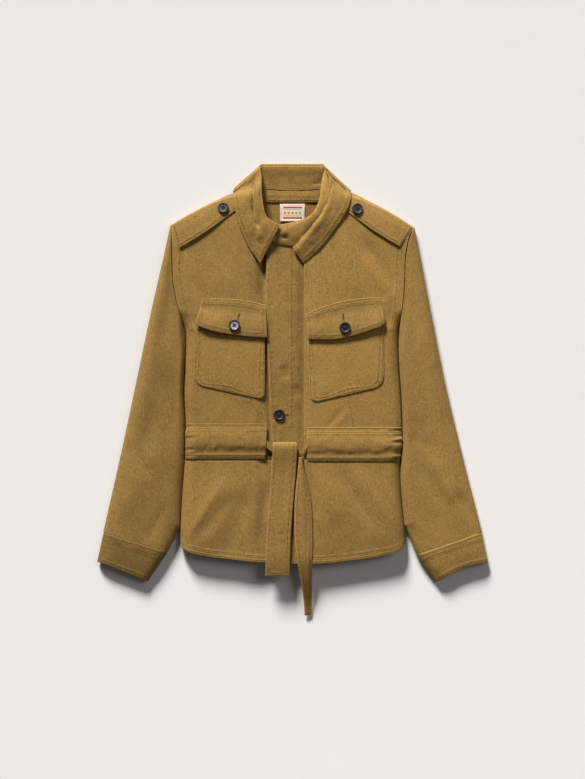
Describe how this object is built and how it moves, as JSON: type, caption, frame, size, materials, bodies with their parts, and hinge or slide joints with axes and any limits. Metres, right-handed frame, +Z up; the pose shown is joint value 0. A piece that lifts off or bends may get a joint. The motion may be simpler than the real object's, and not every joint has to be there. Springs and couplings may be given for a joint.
{
  "type": "utility jacket",
  "caption": "Utility jacket laid flat, front up: turned-down collar, shoulder straps, flapped chest pockets, tied belt in a waist tunnel, open cuffs and hem",
  "frame": {"origin": "On the surface that the jacket lies on, under the middle of its outline, belt end to collar", "axes": "+X to the wearer's left, +Y from hem to collar, +Z up, out of the jacket's front"},
  "size_m": [0.6842, 0.79, 0.0397],
  "materials": {
    "cloth": "matt olive-brown twill with fine upright slubs",
    "button": "dark navy, soft gloss",
    "label": null
  },
  "bodies": {
    "root": {"back_bodice": "cloth", "back_peplum": "cloth", "front_right": "cloth", "front_left": "cloth", "placket": "cloth", "peplum_right": "cloth", "peplum_left": "cloth", "sleeve_right": "cloth", "sleeve_left": "cloth", "cuff_right": "cloth", "cuff_left": "cloth", "collar_stand": "cloth", "collar_leaf": "cloth", "neck_facing": "cloth", "strap_right": "cloth", "strap_left": "cloth", "pocket_right": "cloth", "pocket_left": "cloth", "flap_right": "cloth", "flap_left": "cloth", "casing_right": "cloth", "casing_left": "cloth", "belt_run_right": "cloth", "belt_run_left": "cloth", "belt_tie": "cloth", "belt_wide": "cloth", "belt_narrow": "cloth", "button_strap_right": "button", "button_strap_left": "button", "button_pocket_right": "button", "button_pocket_left": "button", "button_front": "button", "neck_label": "label"}
  },
  "joints": []
}
